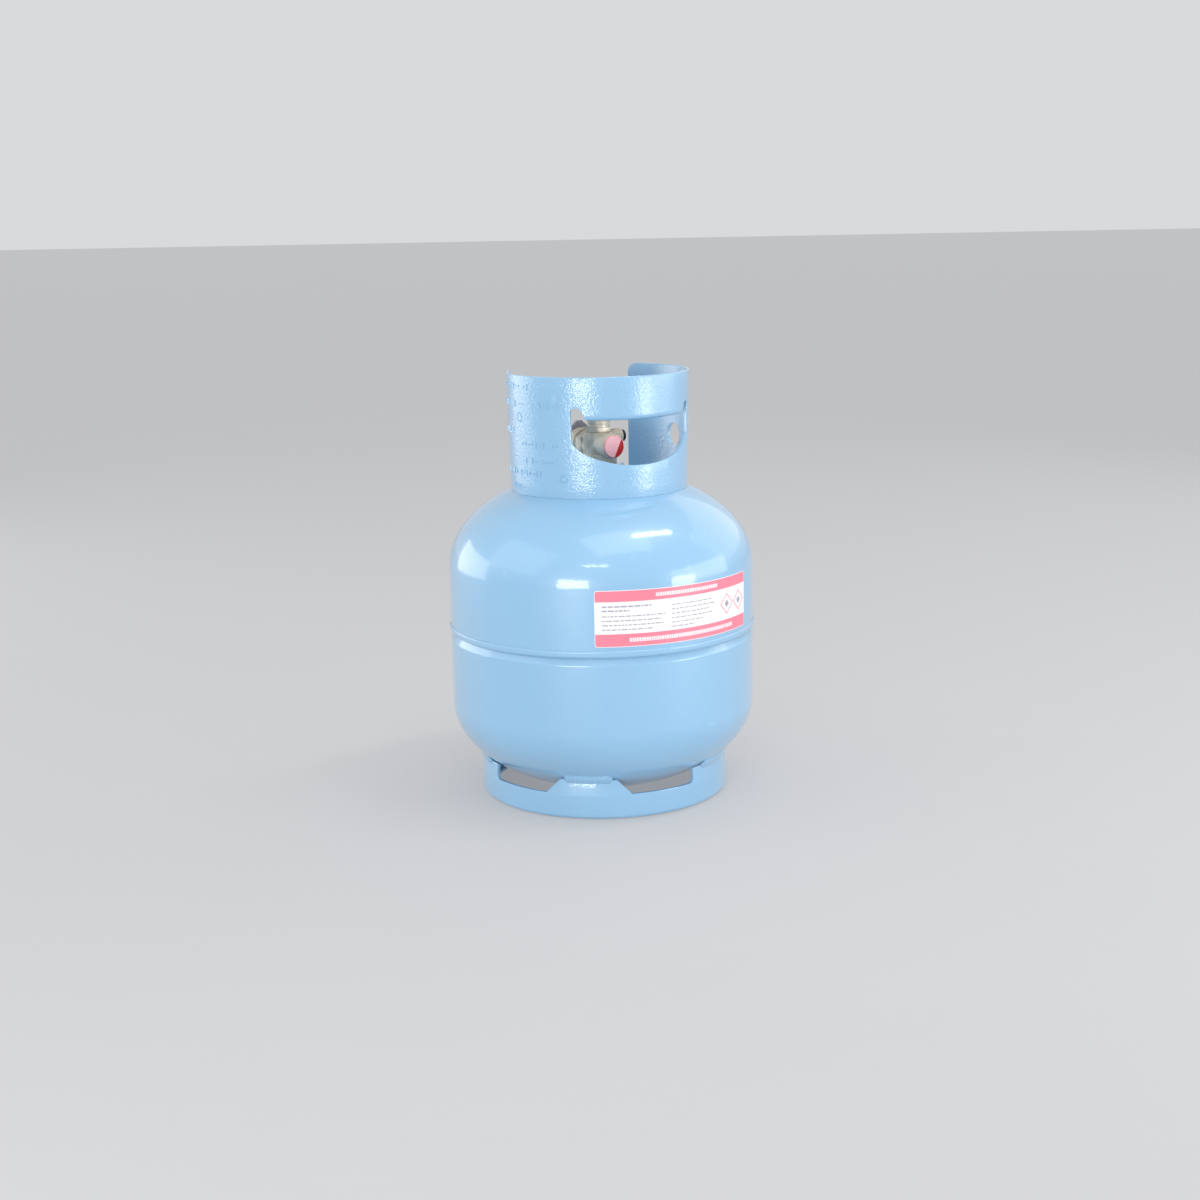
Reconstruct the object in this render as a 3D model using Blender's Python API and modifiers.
"""A refillable propane tank of the 4 kg class: two welded dome-ended steel shells on a slotted foot ring,
with a guard collar round a brass valve. Metres, +Z up, origin at the middle of the foot ring's underside.

Angles round the tank are in degrees, counted from -Y (the front) towards +X.
"""

from math import cos, pi, radians, sin, sqrt

import bmesh
import bpy
from mathutils import Matrix, Vector

MM = 0.001
GAP = 0.35 * MM  # air left between neighbouring pieces

# Shell
SHELL_RADIUS = 130 * MM
SHEET = 2.5 * MM
UPPER_CREST_Z = 196.7 * MM  # where the upper dome starts
UPPER_RISE = 80 * MM
LOWER_CREST_Z = 79.6 * MM
LOWER_RISE = 75 * MM
JOGGLE_LOW_Z = 136 * MM
JOGGLE_HIGH_Z = 141.5 * MM
UPPER_EDGE_Z = 146 * MM
LIP_TOP_Z = 157 * MM
BEAD_TOP_Z = 148.2 * MM
BEAD_PROUD = 1 * MM
BOSS_HOLE_RADIUS = 17.5 * MM

# Guard collar
COLLAR_TOP_Z = 361 * MM
COLLAR_TOP_RADIUS = 77.1 * MM
COLLAR_FOOT_RADIUS = 75.2 * MM
HAND_HOLE_MID = 28.4  # degrees, also the way the relief port faces
GAP_MID = HAND_HOLE_MID + 180
GAP_HALF = 49.5
COLLAR_CORNER = 8 * MM
HAND_HOLE_HALF = 45.7
HAND_HOLE_LOW_Z = 288.7 * MM
HAND_HOLE_SIDE_Z = 309.8 * MM
EAR_TOP_Z = 335.5 * MM
EAR_SIDE_Z = 329 * MM
EAR_FOOT_HALF = 37.2  # where an ear's slant meets the grip band
BAND_EDGE_Z = 330 * MM
GRIP_HALF = 36.9
GRIP_ROLL_RADIUS = 4.3 * MM
ACCESS_HOLE_ANGLE = 117.5
ACCESS_HOLE_Z = 301.5 * MM
ACCESS_HOLE_RADIUS = 10 * MM
COLLAR_WELD_ANGLES = {"collar_weld_left": -62, "collar_weld_front": 28.4, "collar_weld_right": 112}
COLLAR_WELD_SPAN = 40

# Foot ring
FOOT_RADIUS = 106.4 * MM
FOOT_HEIGHT = 34 * MM
FOOT_FLANGE_RADIUS = 97 * MM
FOOT_LEAN_Z = 20 * MM  # above this the band leans inwards to meet the dome
FOOT_LEAN = 1.6 * MM
FOOT_TOP_SLANT = 1.1 * MM  # how much lower the band's inner top edge is, to clear the dome
SLOT_LOW_Z = 21.3 * MM
TAB_MID = -7.5
SMALL_TAB_FOOT_HALF = 19.6
SMALL_TAB_TOP_HALF = 14.5
SLOT_END = 52
FOOT_WELDS = {
    "foot_weld_front": (TAB_MID, 11),
    "foot_weld_right": (TAB_MID + 90, 32),
    "foot_weld_back": (TAB_MID + 180, 11),
    "foot_weld_left": (TAB_MID - 90, 32),
}

# Safety label
LABEL_START = -2.7
LABEL_SPAN = 68
LABEL_LOW_Z = 151.5 * MM
LABEL_HIGH_Z = 197.5 * MM
LABEL_THICKNESS = 0.35 * MM

# Valve
BORE_RADIUS = 7.8 * MM
SEAT_Z = 291.5 * MM
BODY_TOP_Z = 309 * MM
BODY_RADIUS = 13 * MM
SHANK_LOW_Z = 266 * MM
SHANK_RADIUS = 13.2 * MM
BOSS_TOP_Z = 282 * MM
BOSS_RADIUS = 21 * MM
RELIEF_ANGLE = HAND_HOLE_MID
RELIEF_Z = 298.6 * MM
ULLAGE_ANGLE = HAND_HOLE_MID + 90
ULLAGE_Z = 304 * MM
OUTLET_ANGLE = GAP_MID
OUTLET_Z = 296.2 * MM
OUTLET_END = 33 * MM
OUTLET_BORE_LOW = 17 * MM  # where the threaded bore starts, measured from the tank's axis
OUTLET_BORE_RADIUS = 10.2 * MM
OUTLET_HEXAGON = (8.5 * MM, 18.2 * MM)  # where its wrench flats start and end
WHEEL_RADIUS = 28.5 * MM
WHEEL_LOBES = 6
PASSAGE_RADIUS = 9.9 * MM  # how far from the axis the two small drilled passages run
DIP_TUBE_LOW_Z = 200 * MM

SHELL_STEPS = 48
COLLAR_STEPS = 60
FOOT_STEPS = 48
VALVE_STEPS = 24
SMALL_STEPS = 16
HEX = 6

PAINT = ((0.33, 0.56, 0.79), 0.35, 0.0)
WELD = ((0.33, 0.56, 0.79), 0.5, 0.0)
BRASS = ((0.58, 0.5, 0.38), 0.35, 1.0)
STEEL = ((0.55, 0.55, 0.56), 0.35, 1.0)
BLACK_PLASTIC = ((0.02, 0.02, 0.022), 0.5, 0.0)
GREY_PLASTIC = ((0.3, 0.28, 0.32), 0.5, 0.0)
RED_PLASTIC = ((0.6, 0.02, 0.03), 0.4, 0.0)
RUBBER = ((0.03, 0.03, 0.03), 0.8, 0.0)
LABEL = ((0.9, 0.6, 0.66), 0.5, 0.0)


def clear_scene():
    for obj in list(bpy.data.objects):
        bpy.data.objects.remove(obj, do_unlink=True)


def new_collection(name):
    collection = bpy.data.collections.new(name)
    bpy.context.scene.collection.children.link(collection)
    return collection


def material(name, look):
    colour, roughness, metallic = look
    made = bpy.data.materials.get(name) or bpy.data.materials.new(name)
    made.use_nodes = True
    shader = made.node_tree.nodes["Principled BSDF"]
    shader.inputs["Base Color"].default_value = (*colour, 1.0)
    shader.inputs["Roughness"].default_value = roughness
    shader.inputs["Metallic"].default_value = metallic
    return made


def add_object(name, mesh, collection, placing=None):
    obj = bpy.data.objects.new(name, mesh)
    collection.objects.link(obj)
    if placing is not None:
        obj.matrix_world = placing
    return obj


def at(angle, radius, z):
    """The point at this angle round the tank, this far from its axis."""
    turn = radians(angle)
    return Vector((radius * sin(turn), -radius * cos(turn), z))


def port_frame(angle, z):
    """A frame on the tank's axis whose local +Z points out of a valve port and whose local +Y points up."""
    turn = at(angle, 1, 0).to_track_quat("Z", "Y")
    return Matrix.Translation((0, 0, z)) @ turn.to_matrix().to_4x4()


def settle(obj):
    """Fixes the shape that the modifiers make, and shades it smooth between its crisp edges."""
    graph = bpy.context.evaluated_depsgraph_get()
    mesh = bpy.data.meshes.new_from_object(obj.evaluated_get(graph))
    obj.modifiers.clear()
    obj.data = mesh
    mesh.shade_smooth()
    mesh.set_sharp_from_angle(angle=radians(32))
    return obj


def turned(name, profile, steps, collection, placing=None):
    """A solid of revolution. A profile off the axis is a closed loop, one that ends on the axis is open.

    Its (radius, height) points run up the inside and down the outside.
    """
    on_axis = profile[0][0] == 0 and profile[-1][0] == 0
    bm = bmesh.new()
    verts = [bm.verts.new((radius, 0, height)) for radius, height in profile]
    for first, second in zip(verts, verts[1:]):
        bm.edges.new((first, second))
    if not on_axis:
        bm.edges.new((verts[-1], verts[0]))
    mesh = bpy.data.meshes.new(name)
    bm.to_mesh(mesh)
    bm.free()
    obj = add_object(name, mesh, collection, placing)
    turn = obj.modifiers.new("Turn", "SCREW")
    turn.steps = steps
    turn.render_steps = steps
    turn.use_merge_vertices = True
    turn.merge_threshold = 0.00001
    return settle(obj)


def rod(name, radius, start, end, steps, collection, placing=None):
    """A plain cylinder, or with six steps a hexagon bar, along the placing's +Z."""
    profile = [(0, start), (radius, start), (radius, end), (0, end)]
    return turned(name, profile[::-1], steps, collection, placing)


def tube(name, inner, outer, start, end, steps, collection, placing=None):
    profile = [(inner, start), (inner, end), (outer, end), (outer, start)]
    return turned(name, profile, steps, collection, placing)


def face_outwards(bm):
    bmesh.ops.recalc_face_normals(bm, faces=bm.faces)
    if bm.calc_volume(signed=True) < 0:
        bmesh.ops.reverse_faces(bm, faces=bm.faces)


def block(name, size, collection, placing):
    """A box of this size round the placing's origin."""
    bm = bmesh.new()
    bmesh.ops.create_cube(bm, size=1, matrix=Matrix.Diagonal((*size, 1)))
    mesh = bpy.data.meshes.new(name)
    bm.to_mesh(mesh)
    bm.free()
    return add_object(name, mesh, collection, placing)


def turned_arc(name, profile, middle, span, steps, collection):
    """Part of a solid of revolution, with flat ends."""
    start = middle - span / 2
    bm = bmesh.new()
    face = bm.faces.new([bm.verts.new(at(start, radius, height)) for radius, height in profile])
    cap = bm.faces.new([bm.verts.new(vert.co) for vert in face.verts])
    made = bmesh.ops.spin(
        bm, geom=list(face.edges), cent=(0, 0, 0), axis=(0, 0, 1), angle=radians(span), steps=steps
    )
    last = [item for item in made["geom_last"] if isinstance(item, bmesh.types.BMVert)]
    turn = Matrix.Rotation(radians(span), 4, "Z")
    bmesh.ops.transform(bm, matrix=turn, verts=cap.verts)
    bmesh.ops.remove_doubles(bm, verts=last + list(cap.verts), dist=0.000001)
    face_outwards(bm)
    mesh = bpy.data.meshes.new(name)
    bm.to_mesh(mesh)
    bm.free()
    return settle(add_object(name, mesh, collection))


def plate(name, outline, thickness, collection, placing=None):
    """A flat sheet cut to an outline of (x, y) points, its middle at the placing's origin."""
    curve = bpy.data.curves.new(name, "CURVE")
    curve.dimensions = "2D"
    curve.fill_mode = "BOTH"
    curve.extrude = thickness / 2
    spline = curve.splines.new("POLY")
    spline.points.add(len(outline) - 1)
    for point, (x, y) in zip(spline.points, outline):
        point.co = (x, y, 0, 1)
    spline.use_cyclic_u = True
    drawn = add_object(name + "_outline", curve, collection)
    graph = bpy.context.evaluated_depsgraph_get()
    mesh = bpy.data.meshes.new_from_object(drawn.evaluated_get(graph))
    bpy.data.objects.remove(drawn)
    bm = bmesh.new()
    bm.from_mesh(mesh)
    bmesh.ops.remove_doubles(bm, verts=bm.verts, dist=0.000001)
    bm.to_mesh(mesh)
    bm.free()
    return add_object(name, mesh, collection, placing)


def radial_cutter(name, outline, collection, inner=40 * MM, outer=160 * MM):
    """A cutter whose walls all point at the tank's axis, from an outline of (angle, height) points."""
    bm = bmesh.new()
    face = bm.faces.new([bm.verts.new((angle, height * 1000, 0)) for angle, height in outline])
    bm.normal_update()
    lifted = bmesh.ops.extrude_face_region(bm, geom=[face], use_keep_orig=True)
    for item in lifted["geom"]:
        if isinstance(item, bmesh.types.BMVert):
            item.co.z = 1
    bmesh.ops.triangulate(bm, faces=bm.faces)
    for vert in bm.verts:
        radius = inner + (outer - inner) * vert.co.z
        vert.co = at(vert.co.x, radius, vert.co.y * MM)
    face_outwards(bm)
    mesh = bpy.data.meshes.new(name)
    bm.to_mesh(mesh)
    bm.free()
    return add_object(name, mesh, collection)


def as_cutter(obj):
    obj.hide_render = True
    obj.display_type = "WIRE"
    return obj


def combine(obj, others, operation):
    """Joins the object with all of the others at once, or cuts them all out of it."""
    group = bpy.data.collections.new(f"{obj.name}_{operation.lower()}")
    for other in others:
        group.objects.link(as_cutter(other))
    boolean = obj.modifiers.new(group.name, "BOOLEAN")
    boolean.operation = operation
    boolean.operand_type = "COLLECTION"
    boolean.collection = group
    settle(obj)
    bpy.data.collections.remove(group)
    return obj


def paint(obj, name, look):
    obj.data.materials.clear()
    obj.data.materials.append(material(name, look))
    return obj


def dome_z(radius, crest, rise, shell_radius=SHELL_RADIUS):
    """The height of an elliptical dome above this radius. A negative rise makes the lower dome."""
    return crest + rise * sqrt(1 - (radius / shell_radius) ** 2)


def dome_arc(crest, rise, shell_radius, end_radius, steps):
    """Points from the dome's crest line to end_radius, evenly spaced in the ellipse's angle."""
    last = sqrt(1 - (end_radius / shell_radius) ** 2)
    end_turn = pi / 2 if end_radius == 0 else Vector((end_radius / shell_radius, last)).angle(Vector((1, 0)))
    turns = [end_turn * step / steps for step in range(steps + 1)]
    points = [(shell_radius * cos(turn), crest + rise * sin(turn)) for turn in turns]
    points[-1] = (end_radius, points[-1][1])
    return points


def above_dome(radius, lift):
    return (radius, dome_z(radius, UPPER_CREST_Z, UPPER_RISE) + lift)


def below_dome(radius, drop):
    return (radius, dome_z(radius, LOWER_CREST_Z, -LOWER_RISE) - drop)


def make_upper_shell(parts):
    inside_radius = SHELL_RADIUS - SHEET
    outside = dome_arc(UPPER_CREST_Z, UPPER_RISE, SHELL_RADIUS, BOSS_HOLE_RADIUS, 9)
    inside = dome_arc(UPPER_CREST_Z, UPPER_RISE - SHEET, inside_radius, BOSS_HOLE_RADIUS, 7)
    edge = [(SHELL_RADIUS, UPPER_EDGE_Z), (inside_radius, UPPER_EDGE_Z)]
    shell = turned("upper_shell", inside + outside[::-1] + edge, SHELL_STEPS, parts)
    paint(shell, "tank_paint", PAINT)


def make_lower_shell(parts):
    """The lower half. Its rim steps inwards and reaches up behind the upper half, to back the girth weld."""
    inside_radius = SHELL_RADIUS - SHEET
    lip_radius = inside_radius - GAP
    outside = dome_arc(LOWER_CREST_Z, -LOWER_RISE, SHELL_RADIUS, 0, 9)
    inside = dome_arc(LOWER_CREST_Z, SHEET - LOWER_RISE, inside_radius, 0, 7)
    joggle_inside = [(inside_radius, JOGGLE_LOW_Z - SHEET), (lip_radius - SHEET, JOGGLE_HIGH_Z - SHEET / 2)]
    lip = [(lip_radius - SHEET, LIP_TOP_Z), (lip_radius, LIP_TOP_Z)]
    joggle_outside = [(lip_radius, JOGGLE_HIGH_Z), (SHELL_RADIUS, JOGGLE_LOW_Z)]
    profile = inside[::-1] + joggle_inside + lip + joggle_outside + outside
    shell = turned("lower_shell", profile, SHELL_STEPS, parts)
    paint(shell, "tank_paint", PAINT)


def make_girth_weld(parts):
    """The bead that covers the upper half's edge and fills the top of the joggle."""
    face_radius = SHELL_RADIUS + GAP
    root_radius = SHELL_RADIUS - SHEET + 0.1 * MM
    crown_radius = SHELL_RADIUS + BEAD_PROUD
    profile = [
        (root_radius, JOGGLE_HIGH_Z + 0.7 * MM),
        (root_radius, UPPER_EDGE_Z - GAP),
        (face_radius, UPPER_EDGE_Z - GAP),
        (face_radius, BEAD_TOP_Z),
        (crown_radius - 0.1 * MM, BEAD_TOP_Z - 1.2 * MM),
        (crown_radius, BEAD_TOP_Z - 3 * MM),
        (crown_radius - 0.5 * MM, BEAD_TOP_Z - 4.8 * MM),
        (crown_radius - 1.8 * MM, JOGGLE_HIGH_Z + 0.9 * MM),
    ]
    paint(turned("girth_weld", profile, SHELL_STEPS, parts), "weld_paint", WELD)


def make_valve_boss(parts):
    """The forged bush that the valve screws into, and the fillet weld round it."""
    neck_radius = BOSS_HOLE_RADIUS - GAP
    flange_z = dome_z(BOSS_HOLE_RADIUS, UPPER_CREST_Z, UPPER_RISE) + GAP
    bore = SHANK_RADIUS + GAP
    profile = [
        (bore, 268 * MM),
        (bore, BOSS_TOP_Z),
        (BOSS_RADIUS - 1 * MM, BOSS_TOP_Z),
        (BOSS_RADIUS, BOSS_TOP_Z - 1 * MM),
        (BOSS_RADIUS, flange_z),
        (neck_radius, flange_z),
        (neck_radius, 268 * MM),
    ]
    paint(turned("valve_boss", profile, VALVE_STEPS, parts), "tank_paint", PAINT)
    weld = [
        above_dome(BOSS_RADIUS + GAP, GAP + 0.1 * MM),
        above_dome(BOSS_RADIUS + GAP, 4.5 * MM),
        above_dome(BOSS_RADIUS + 2.4 * MM, 3.6 * MM),
        above_dome(BOSS_RADIUS + 4.6 * MM, GAP),
    ]
    paint(turned("boss_weld", weld, VALVE_STEPS, parts), "weld_paint", WELD)


def hand_hole_outline():
    """Half a lens below, and above it a straight band edge between two raised ears."""
    half = []
    sag_steps = 8
    for step in range(sag_steps + 1):
        turn = pi / 2 * step / sag_steps
        drop = (HAND_HOLE_SIDE_Z - HAND_HOLE_LOW_Z) * cos(turn) ** 1.25
        half.append((HAND_HOLE_HALF * sin(turn), HAND_HOLE_SIDE_Z - drop))
    ear = [(HAND_HOLE_HALF, EAR_SIDE_Z), (44.8, 334 * MM), (43.2, EAR_TOP_Z), (41.4, 334.9 * MM)]
    half += ear + [(EAR_FOOT_HALF, BAND_EDGE_Z)]
    half += [(angle, BAND_EDGE_Z) for angle in (30, 20, 10)]
    left = [(-angle, z) for angle, z in half[1:]]
    return [(HAND_HOLE_MID + angle, z) for angle, z in half + [(0, BAND_EDGE_Z)] + left[::-1]]


def collar_gap_outline():
    """The open sector at the back, wider at the top where the collar's two corners are rounded."""
    corner_turn = COLLAR_CORNER / COLLAR_TOP_RADIUS * 180 / pi
    side_z = COLLAR_TOP_Z - COLLAR_CORNER
    corner = []
    for step in range(6):
        turn = pi / 2 * step / 5
        reach = GAP_HALF + corner_turn * (1 - cos(turn))
        corner.append((reach, side_z + COLLAR_CORNER * sin(turn)))
    low = [(GAP_HALF, 250 * MM)]
    high = [(corner[-1][0], 380 * MM), (30, 380 * MM), (0, 380 * MM)]
    right = low + corner + high
    left = [(-angle, z) for angle, z in right[:-1]]
    return [(GAP_MID + angle, z) for angle, z in right + left[::-1] + [(-20, 250 * MM), (20, 250 * MM)]]


def make_grip_roll(cutters):
    """The grip band's lower edge, rolled inwards so that it doesn't cut the hand."""
    middle_radius = 72.15 * MM
    thick = GRIP_ROLL_RADIUS
    thin = GRIP_ROLL_RADIUS - 2.4 * MM
    outside = []
    inside = []
    for step in range(9):
        turn = -pi * step / 8
        outside.append((middle_radius + thick * cos(turn), BAND_EDGE_Z + thick * sin(turn)))
        inside.append((middle_radius + thin * cos(turn), BAND_EDGE_Z + thin * sin(turn)))
    high = BAND_EDGE_Z + 3 * MM
    tip = [(middle_radius - thick, high), (middle_radius - thin, high)]
    root = [(middle_radius + thin, high), (middle_radius + thick, high)]
    profile = outside + tip + inside[::-1] + root
    return turned_arc("grip_roll", profile, HAND_HOLE_MID, 2 * GRIP_HALF, 18, cutters)


def make_collar(parts, cutters):
    profile = [
        above_dome(COLLAR_FOOT_RADIUS - SHEET, GAP),
        (COLLAR_TOP_RADIUS - SHEET, COLLAR_TOP_Z),
        (COLLAR_TOP_RADIUS, COLLAR_TOP_Z),
        above_dome(COLLAR_FOOT_RADIUS, GAP),
    ]
    collar = turned("collar", profile, COLLAR_STEPS, parts)
    access = rod("access_hole_cutter", ACCESS_HOLE_RADIUS, 50 * MM, 100 * MM, VALVE_STEPS, cutters,
                 port_frame(ACCESS_HOLE_ANGLE, ACCESS_HOLE_Z))
    hand = radial_cutter("hand_hole_cutter", hand_hole_outline(), cutters)
    gap = radial_cutter("collar_gap_cutter", collar_gap_outline(), cutters)
    combine(collar, [gap, hand, access], "DIFFERENCE")
    combine(collar, [make_grip_roll(cutters)], "UNION")
    paint(collar, "tank_paint", PAINT)


def make_collar_welds(parts):
    """Fillet welds along the inside of the collar's foot."""
    inner = COLLAR_FOOT_RADIUS - SHEET - GAP
    profile = [
        above_dome(inner, GAP + 0.1 * MM),
        above_dome(inner, 4 * MM),
        above_dome(inner - 1.9 * MM, 3.1 * MM),
        above_dome(inner - 3.8 * MM, GAP),
    ]
    for name, middle in COLLAR_WELD_ANGLES.items():
        weld = turned_arc(name, profile, middle, COLLAR_WELD_SPAN, 12, parts)
        paint(weld, "weld_paint", WELD)


def slot_outline(middle, near, near_top, far):
    """A slot that is open at the top, from a slanted end near the small tab to an upright far end."""
    top = 60 * MM
    slope = (near - near_top) / (FOOT_HEIGHT - SLOT_LOW_Z)
    near_high = near - slope * (top - SLOT_LOW_Z)
    side = 1 if far > near else -1
    steps = 5
    low = [(near + (far - near) * step / steps, SLOT_LOW_Z) for step in range(steps + 1)]
    low[-1] = (far - side * 2, SLOT_LOW_Z)
    rise = [(far - side * 0.6, SLOT_LOW_Z + 1.2 * MM), (far, SLOT_LOW_Z + 3.5 * MM)]
    high = [(far, top), ((near + far) / 2, top), (near_high, top)]
    return [(middle + angle, z) for angle, z in low + rise + high]


def make_foot_ring(parts, cutters):
    """A rolled band whose foot curls inwards, cut by four slots that leave tabs to weld to the dome."""
    wall = FOOT_RADIUS - SHEET
    curl = 4 * MM
    outer_curl = []
    inner_curl = []
    for step in range(4):
        turn = pi / 2 * step / 3
        outer_curl.append((FOOT_RADIUS - curl + curl * cos(turn), curl - curl * sin(turn)))
        inner_curl.append((wall - (curl - SHEET) * (1 - sin(turn)), curl - (curl - SHEET) * cos(turn)))
    flange = [(FOOT_FLANGE_RADIUS, 0), (FOOT_FLANGE_RADIUS, SHEET)]
    inner_lean = [(wall, FOOT_LEAN_Z), (wall - FOOT_LEAN, FOOT_HEIGHT - FOOT_TOP_SLANT)]
    outer_lean = [(FOOT_RADIUS - FOOT_LEAN, FOOT_HEIGHT), (FOOT_RADIUS, FOOT_LEAN_Z)]
    profile = flange + inner_curl + inner_lean + outer_lean + outer_curl
    ring = turned("foot_ring", profile, FOOT_STEPS, parts)
    slots = []
    for turn in (TAB_MID, TAB_MID + 180):
        for side in (1, -1):
            near, near_top, far = side * SMALL_TAB_FOOT_HALF, side * SMALL_TAB_TOP_HALF, side * SLOT_END
            outline = slot_outline(turn, near, near_top, far)
            slots.append(radial_cutter(f"slot_cutter_{len(slots)}", outline, cutters, 60 * MM, 140 * MM))
    combine(ring, slots, "DIFFERENCE")
    paint(ring, "tank_paint", PAINT)


def make_foot_welds(parts):
    """Beads along the tops of the tabs, outside the ring."""
    top_radius = FOOT_RADIUS - FOOT_LEAN
    profile = [
        (top_radius + 0.7 * MM, 31 * MM),
        (top_radius + GAP, FOOT_HEIGHT),
        below_dome(top_radius + GAP, GAP + 0.3 * MM),
        below_dome(top_radius + 4 * MM, GAP + 0.1 * MM),
        (top_radius + 3.4 * MM, 34.8 * MM),
        (top_radius + 1.9 * MM, 31.8 * MM),
    ]
    for name, (middle, half) in FOOT_WELDS.items():
        weld = turned_arc(name, profile, middle, 2 * half, 2 + half // 3, parts)
        paint(weld, "weld_paint", WELD)


def make_label(parts):
    inner = SHELL_RADIUS + GAP
    outer = inner + LABEL_THICKNESS
    profile = [(inner, LABEL_LOW_Z), (inner, LABEL_HIGH_Z), (outer, LABEL_HIGH_Z), (outer, LABEL_LOW_Z)]
    middle = LABEL_START + LABEL_SPAN / 2
    paint(turned_arc("safety_label", profile, middle, LABEL_SPAN, 24, parts), "label_print", LABEL)


def valve_body_pieces(cutters):
    """The forging's outer shapes: upright shank, hexagon and barrel, and the three side ports."""
    relief = port_frame(RELIEF_ANGLE, RELIEF_Z)
    ullage = port_frame(ULLAGE_ANGLE, ULLAGE_Z)
    outlet = port_frame(OUTLET_ANGLE, OUTLET_Z)
    barrel = [
        (0, 289 * MM),
        (BODY_RADIUS, 289 * MM),
        (BODY_RADIUS, 305 * MM),
        (BODY_RADIUS - 1.2 * MM, BODY_TOP_Z),
        (0, BODY_TOP_Z),
    ]
    ullage_boss = [
        (0, 11.9 * MM),
        (6.4 * MM, 11.9 * MM),
        (6.4 * MM, 19.5 * MM),
        (5 * MM, 22 * MM),
        (0, 22 * MM),
    ]
    outlet_barrel = [
        (0, 6 * MM),
        (12 * MM, 6 * MM),
        (12 * MM, 20.5 * MM),
        (13.6 * MM, 21.5 * MM),
        (13.6 * MM, OUTLET_END - 1 * MM),
        (12.6 * MM, OUTLET_END),
        (0, OUTLET_END),
    ]
    return [
        rod("wrench_hexagon", 30 * MM / sqrt(3), BOSS_TOP_Z + GAP, 290 * MM, HEX, cutters),
        turned("valve_barrel", barrel[::-1], VALVE_STEPS, cutters),
        rod("relief_boss", 10.25 * MM, 4 * MM, 26 * MM, VALVE_STEPS, cutters, relief),
        turned("ullage_boss", ullage_boss[::-1], SMALL_STEPS, cutters, ullage),
        rod("outlet_hexagon", 25 * MM / sqrt(3), *OUTLET_HEXAGON, HEX, cutters, outlet),
        turned("outlet_barrel", outlet_barrel[::-1], VALVE_STEPS, cutters, outlet),
    ]


def valve_bores(cutters):
    """The passages: seat hole and chamber, outlet, relief port and bleed port with their drilled risers."""
    relief = port_frame(RELIEF_ANGLE, RELIEF_Z)
    ullage = port_frame(ULLAGE_ANGLE, ULLAGE_Z)
    outlet = port_frame(OUTLET_ANGLE, OUTLET_Z)
    relief_riser = Matrix.Translation(at(RELIEF_ANGLE, PASSAGE_RADIUS, 0))
    ullage_riser = Matrix.Translation(at(ULLAGE_ANGLE, PASSAGE_RADIUS, 0))
    below = SHANK_LOW_Z - 5 * MM
    return [
        rod("seat_hole", 3.2 * MM, below, SEAT_Z + 1 * MM, SMALL_STEPS, cutters),
        rod("chamber", BORE_RADIUS, SEAT_Z, BODY_TOP_Z + 5 * MM, VALVE_STEPS, cutters),
        rod("bonnet_socket", 9.4 * MM, 305.5 * MM, BODY_TOP_Z + 6 * MM, VALVE_STEPS, cutters),
        rod("outlet_passage", 4.2 * MM, 3 * MM, 25 * MM, SMALL_STEPS, cutters, outlet),
        rod("outlet_thread", OUTLET_BORE_RADIUS, OUTLET_BORE_LOW, 60 * MM, VALVE_STEPS, cutters, outlet),
        rod("relief_riser", 1.3 * MM, below, RELIEF_Z + 0.5 * MM, 12, cutters, relief_riser),
        rod("relief_seat_hole", 2.2 * MM, 9.2 * MM, 13 * MM, SMALL_STEPS, cutters, relief),
        rod("relief_bore", 6.5 * MM, 12 * MM, 40 * MM, VALVE_STEPS, cutters, relief),
        rod("relief_recess", 9.6 * MM, 24 * MM, 41 * MM, VALVE_STEPS, cutters, relief),
        rod("ullage_riser", 1.1 * MM, below, ULLAGE_Z + 0.5 * MM, 12, cutters, ullage_riser),
        rod("dip_tube_socket", 2.2 * MM, below - 1 * MM, 270 * MM, SMALL_STEPS, cutters, ullage_riser),
        rod("ullage_seat_hole", 0.9 * MM, 9.4 * MM, 13 * MM, 12, cutters, ullage),
        rod("ullage_bore", 3 * MM, 12 * MM, 40 * MM, SMALL_STEPS, cutters, ullage),
    ]


def make_valve_body(parts, cutters):
    shank = [
        (0, SHANK_LOW_Z),
        (SHANK_RADIUS - 0.3 * MM, SHANK_LOW_Z),
        (SHANK_RADIUS - 0.05 * MM, 281 * MM),
        (SHANK_RADIUS - 0.05 * MM, 286 * MM),
        (0, 286 * MM),
    ]
    body = turned("valve_body", shank[::-1], VALVE_STEPS, parts)
    combine(body, valve_body_pieces(cutters), "UNION")
    combine(body, valve_bores(cutters), "DIFFERENCE")
    paint(body, "brass", BRASS)


def make_dip_tube(parts):
    """The thin tube below the bleed screw. Its mouth marks the highest fill level."""
    placing = Matrix.Translation(at(ULLAGE_ANGLE, PASSAGE_RADIUS, 0))
    dip = tube("dip_tube", 1.1 * MM, 1.85 * MM, DIP_TUBE_LOW_Z, 269.6 * MM, 12, parts, placing)
    paint(dip, "brass", BRASS)


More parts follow.
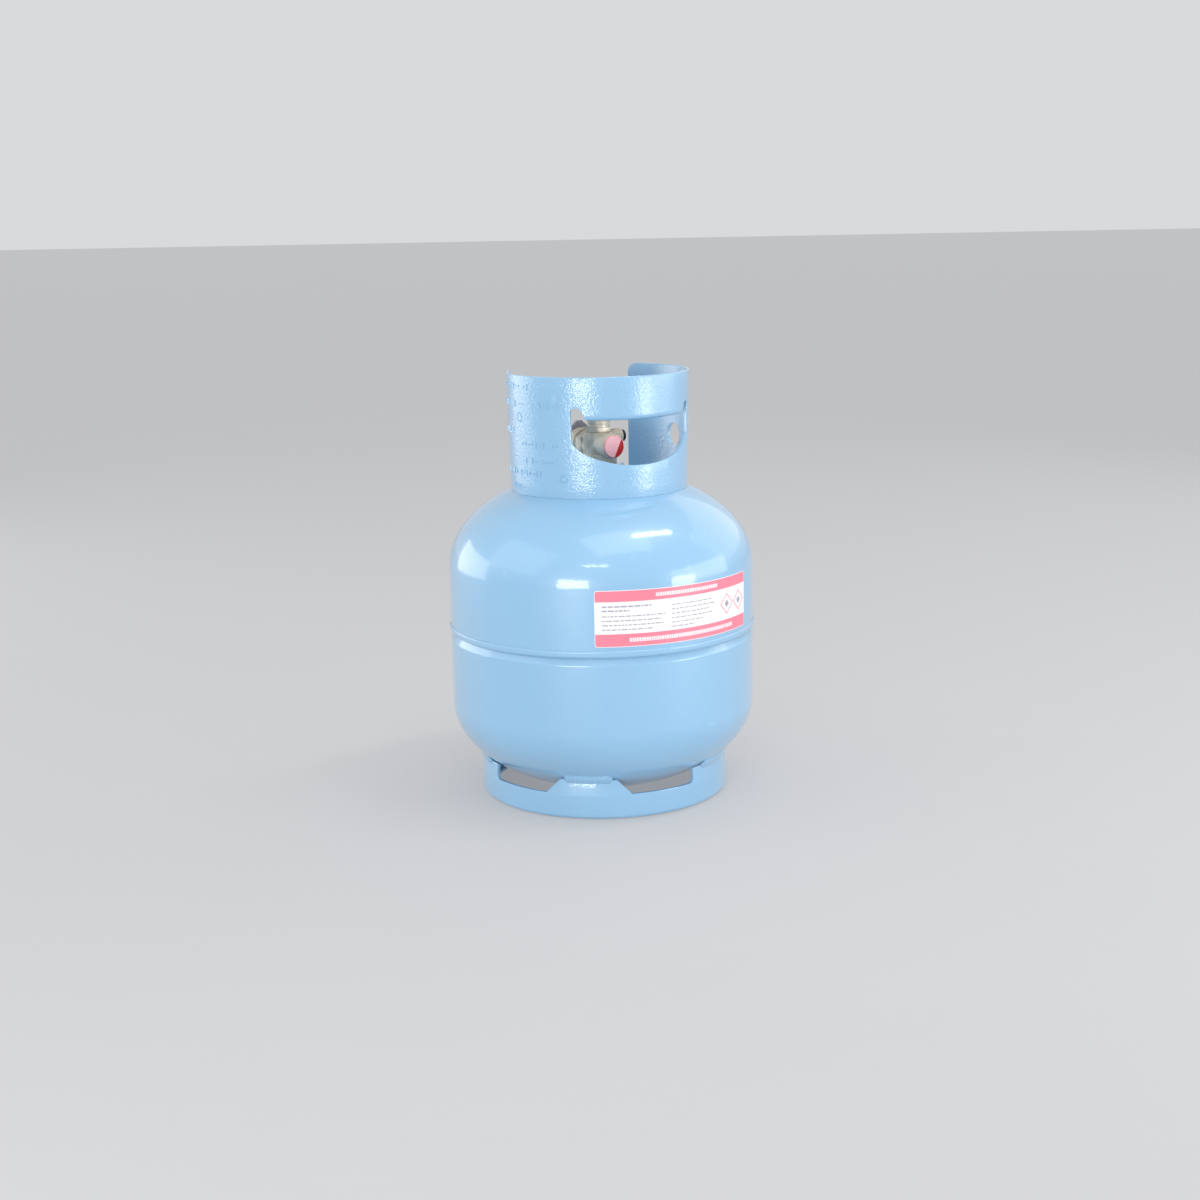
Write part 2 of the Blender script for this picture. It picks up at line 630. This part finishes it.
def make_bonnet(parts, cutters):
    """The gland nut: a shank in the body, a hexagon, and a ribbed neck round the stem."""
    bore = [
        (0, 300 * MM),
        (BORE_RADIUS, 300 * MM),
        (BORE_RADIUS, 308.3 * MM),
        (6.35 * MM, 308.3 * MM),
        (6.35 * MM, 311.1 * MM),
        (4.15 * MM, 311.1 * MM),
        (4.15 * MM, 313 * MM),
        (6.4 * MM, 313 * MM),
        (6.4 * MM, 316 * MM),
        (4.15 * MM, 316 * MM),
        (4.15 * MM, 340 * MM),
        (0, 340 * MM),
    ]
    neck = [(0, 312 * MM), (9.6 * MM, 312 * MM)]
    for ridge in range(3):
        low = (314.4 + ridge * 3) * MM
        neck += [(9.6 * MM, low), (9 * MM, low + 0.3 * MM)]
        neck += [(9 * MM, low + 0.7 * MM), (9.6 * MM, low + 1 * MM)]
    neck += [(9.6 * MM, 324 * MM), (8 * MM, 325.5 * MM), (0, 325.5 * MM)]
    bonnet = rod("bonnet", 9.05 * MM, 305.85 * MM, 310 * MM, VALVE_STEPS, parts)
    hexagon = rod("bonnet_hexagon", 20 * MM / sqrt(3), BODY_TOP_Z + GAP, 313.2 * MM, HEX, cutters)
    combine(bonnet, [hexagon, turned("bonnet_neck", neck[::-1], VALVE_STEPS, cutters)], "UNION")
    combine(bonnet, [turned("bonnet_bore", bore[::-1], VALVE_STEPS, cutters)], "DIFFERENCE")
    paint(bonnet, "brass", BRASS)
    ring = [(5.25 * MM + 0.85 * MM * cos(pi * step / 4), 314.5 * MM - 0.85 * MM * sin(pi * step / 4))
            for step in range(8)]
    paint(turned("stem_seal", ring, VALVE_STEPS, parts), "seal_rubber", RUBBER)


def make_stem(parts, cutters):
    """The upper spindle: flanged, sealed by a ring, square at both ends and tapped for the wheel's screw."""
    shaft = [
        (0, 308.6 * MM),
        (6 * MM, 308.6 * MM),
        (6 * MM, 310.75 * MM),
        (3.8 * MM, 310.75 * MM),
        (3.8 * MM, 327 * MM),
        (0, 327 * MM),
    ]
    stem = turned("valve_stem", shaft[::-1], VALVE_STEPS, parts)
    tang = rod("stem_tang", 4.2 * MM / sqrt(2), 300.4 * MM, 309 * MM, 4, cutters)
    square = rod("stem_square", 5.2 * MM / sqrt(2), 326 * MM, 341.4 * MM, 4, cutters)
    combine(stem, [tang, square], "UNION")
    combine(stem, [rod("stem_tapping", 2.1 * MM, 331 * MM, 345 * MM, 16, cutters)], "DIFFERENCE")
    paint(stem, "brass", BRASS)


def make_seat_parts(parts, cutters):
    """The soft disc that closes the seat, and the threaded lower spindle that presses it down."""
    disc = rod("seat_disc", 6.2 * MM, SEAT_Z + GAP, 294.6 * MM, VALVE_STEPS, parts)
    paint(disc, "seal_rubber", RUBBER)
    spindle = rod("lower_spindle", 7.4 * MM, 295 * MM, 304 * MM, VALVE_STEPS, parts)
    socket = rod("spindle_socket", 5 * MM / sqrt(2), 296.5 * MM, 310 * MM, 4, cutters)
    combine(spindle, [socket], "DIFFERENCE")
    paint(spindle, "brass", BRASS)


def make_handwheel(parts, cutters):
    """A moulded wheel: hub, dished web and a thick rim pulled out into finger lobes."""
    rim = WHEEL_RADIUS
    profile = [
        (0, 327.4 * MM),
        (8 * MM, 327.4 * MM),
        (8.6 * MM, 334 * MM),
        (rim - 6 * MM, 335.5 * MM),
        (rim - 5 * MM, 333 * MM),
        (rim - 1.5 * MM, 332.4 * MM),
        (rim, 334.4 * MM),
        (rim, 342 * MM),
        (rim - 1.5 * MM, 344.4 * MM),
        (rim - 5 * MM, 344.4 * MM),
        (rim - 7 * MM, 341.5 * MM),
        (9.5 * MM, 340.5 * MM),
        (8.5 * MM, 342 * MM),
        (0, 342 * MM),
    ]
    wheel = turned("handwheel", profile[::-1], SHELL_STEPS, parts)
    for vert in wheel.data.vertices:
        radius = vert.co.xy.length
        if radius > rim / 2:
            turn = Vector((0, 1)).angle_signed(vert.co.xy)
            vert.co.xy *= 1 + 0.045 * cos(WHEEL_LOBES * turn)
    square = rod("wheel_square", 5.9 * MM / sqrt(2), 320 * MM, 350 * MM, 4, cutters)
    combine(wheel, [square], "DIFFERENCE")
    paint(wheel, "wheel_plastic", BLACK_PLASTIC)
    washer = tube("wheel_washer", 2.3 * MM, 6 * MM, 342.35 * MM, 343.35 * MM, SMALL_STEPS, parts)
    paint(washer, "zinc_steel", STEEL)
    screw = [
        (0, 333 * MM),
        (1.7 * MM, 333 * MM),
        (1.7 * MM, 343.7 * MM),
        (4 * MM, 343.7 * MM),
        (4 * MM, 345.6 * MM),
        (3 * MM, 346.7 * MM),
        (0, 346.7 * MM),
    ]
    fixing = turned("wheel_screw", screw[::-1], SMALL_STEPS, parts)
    head_top = Matrix.Translation((0, 0, 346.7 * MM))
    slot = block("screw_slot", (12 * MM, 1.1 * MM, 2.4 * MM), cutters, head_top)
    combine(fixing, [slot], "DIFFERENCE")
    paint(fixing, "zinc_steel", STEEL)


def make_relief_parts(parts, cutters):
    """The safety valve: a sprung poppet on a soft seal, its adjusting cup, and a push-in dust cap."""
    port = port_frame(RELIEF_ANGLE, RELIEF_Z)
    seal = rod("relief_seal", 4.2 * MM, 12.35 * MM, 13.9 * MM, SMALL_STEPS, parts, port)
    paint(seal, "seal_rubber", RUBBER)
    poppet = [
        (0, 14.25 * MM),
        (5.8 * MM, 14.25 * MM),
        (5.8 * MM, 15.6 * MM),
        (2 * MM, 15.6 * MM),
        (2 * MM, 22 * MM),
        (0, 22 * MM),
    ]
    paint(turned("relief_poppet", poppet[::-1], SMALL_STEPS, parts, port), "brass", BRASS)
    make_relief_spring(parts, port)
    cup = [
        (2.6 * MM, 22.3 * MM),
        (2.6 * MM, 23.7 * MM),
        (6.15 * MM, 23.7 * MM),
        (6.15 * MM, 18 * MM),
        (5.5 * MM, 18 * MM),
        (5.5 * MM, 22.3 * MM),
    ]
    paint(turned("relief_adjuster", cup, VALVE_STEPS, parts, port), "brass", BRASS)
    cap = [
        (0, 24.35 * MM),
        (8.6 * MM, 24.35 * MM),
        (9.25 * MM, 25 * MM),
        (9.25 * MM, 26.4 * MM),
        (8.5 * MM, 27.2 * MM),
        (0, 27.5 * MM),
    ]
    paint(turned("relief_cap", cap[::-1], VALVE_STEPS, parts, port), "cap_plastic", RED_PLASTIC)


def make_relief_spring(parts, port):
    coil_radius, wire, low, high, turns, per_turn = 4.3 * MM, 0.6 * MM, 16.6 * MM, 20 * MM, 2.5, 14
    curve = bpy.data.curves.new("relief_spring", "CURVE")
    curve.dimensions = "3D"
    curve.bevel_depth = wire
    curve.bevel_resolution = 1
    curve.use_fill_caps = True
    spline = curve.splines.new("POLY")
    count = int(turns * per_turn)
    spline.points.add(count)
    for index, point in enumerate(spline.points):
        turn = 2 * pi * index / per_turn
        along = low + (high - low) * index / count
        point.co = (coil_radius * cos(turn), coil_radius * sin(turn), along, 1)
    paint(add_object("relief_spring", curve, parts, port), "zinc_steel", STEEL)


def make_ullage_parts(parts, cutters):
    """The bleed screw, opened while filling: soft tip, slotted screw and its black thumb ring."""
    port = port_frame(ULLAGE_ANGLE, ULLAGE_Z)
    tip = rod("ullage_tip", 2.2 * MM, 12.35 * MM, 13.5 * MM, SMALL_STEPS, parts, port)
    paint(tip, "seal_rubber", RUBBER)
    screw = rod("ullage_screw", 2.6 * MM, 13.85 * MM, 24.6 * MM, SMALL_STEPS, parts, port)
    placing = port @ Matrix.Translation((0, 0, 24.6 * MM))
    slot = block("ullage_slot", (8 * MM, 0.9 * MM, 2.2 * MM), cutters, placing)
    combine(screw, [slot], "DIFFERENCE")
    paint(screw, "brass", BRASS)
    ring = tube("ullage_ring", 2.95 * MM, 4.9 * MM, 22.35 * MM, 24.4 * MM, SMALL_STEPS, parts, port)
    paint(ring, "wheel_plastic", BLACK_PLASTIC)


def make_outlet_plug(parts, cutters):
    """The plug that closes the outlet: rubber nose, threaded body, flange and two wings to turn it by."""
    port = port_frame(OUTLET_ANGLE, OUTLET_Z)
    seal_low = OUTLET_BORE_LOW + GAP
    body_low = seal_low + 2 * MM
    thread_radius = OUTLET_BORE_RADIUS - 0.4 * MM
    flange_low = OUTLET_END + GAP
    nose = tube("outlet_plug_seal", 3 * MM, 9 * MM, seal_low, body_low - GAP, VALVE_STEPS, parts, port)
    paint(nose, "seal_rubber", RUBBER)
    body = [
        (0, body_low),
        (thread_radius - 0.6 * MM, body_low),
        (thread_radius, body_low + 0.6 * MM),
        (thread_radius, flange_low),
        (13 * MM, flange_low),
        (13 * MM, flange_low + 2.6 * MM),
        (12 * MM, flange_low + 4 * MM),
        (0, flange_low + 4 * MM),
    ]
    plug = turned("outlet_plug", body[::-1], VALVE_STEPS, parts, port)
    wing = []
    for side in (1, -1):
        wing.append((side * 7.5 * MM, side * -14.4 * MM))
        wing.append((side * 7.5 * MM, side * 14.4 * MM))
        wing.append((side * 2.3 * MM, side * 19.2 * MM))
        wing.append((-side * 2.3 * MM, side * 19.2 * MM))
    wing_place = port @ Matrix.Translation((0, 0, flange_low + 2.05 * MM))
    wings = plate("plug_wings", wing, 3.4 * MM, cutters, wing_place)
    combine(plug, [wings], "UNION")
    paint(plug, "plug_plastic", GREY_PLASTIC)


def build():
    clear_scene()
    parts = new_collection("propane_tank")
    cutters = new_collection("cutters")
    make_upper_shell(parts)
    make_lower_shell(parts)
    make_girth_weld(parts)
    make_valve_boss(parts)
    make_collar(parts, cutters)
    make_collar_welds(parts)
    make_foot_ring(parts, cutters)
    make_foot_welds(parts)
    make_label(parts)
    make_valve_body(parts, cutters)
    make_dip_tube(parts)
    make_bonnet(parts, cutters)
    make_stem(parts, cutters)
    make_seat_parts(parts, cutters)
    make_handwheel(parts, cutters)
    make_relief_parts(parts, cutters)
    make_ullage_parts(parts, cutters)
    make_outlet_plug(parts, cutters)


build()
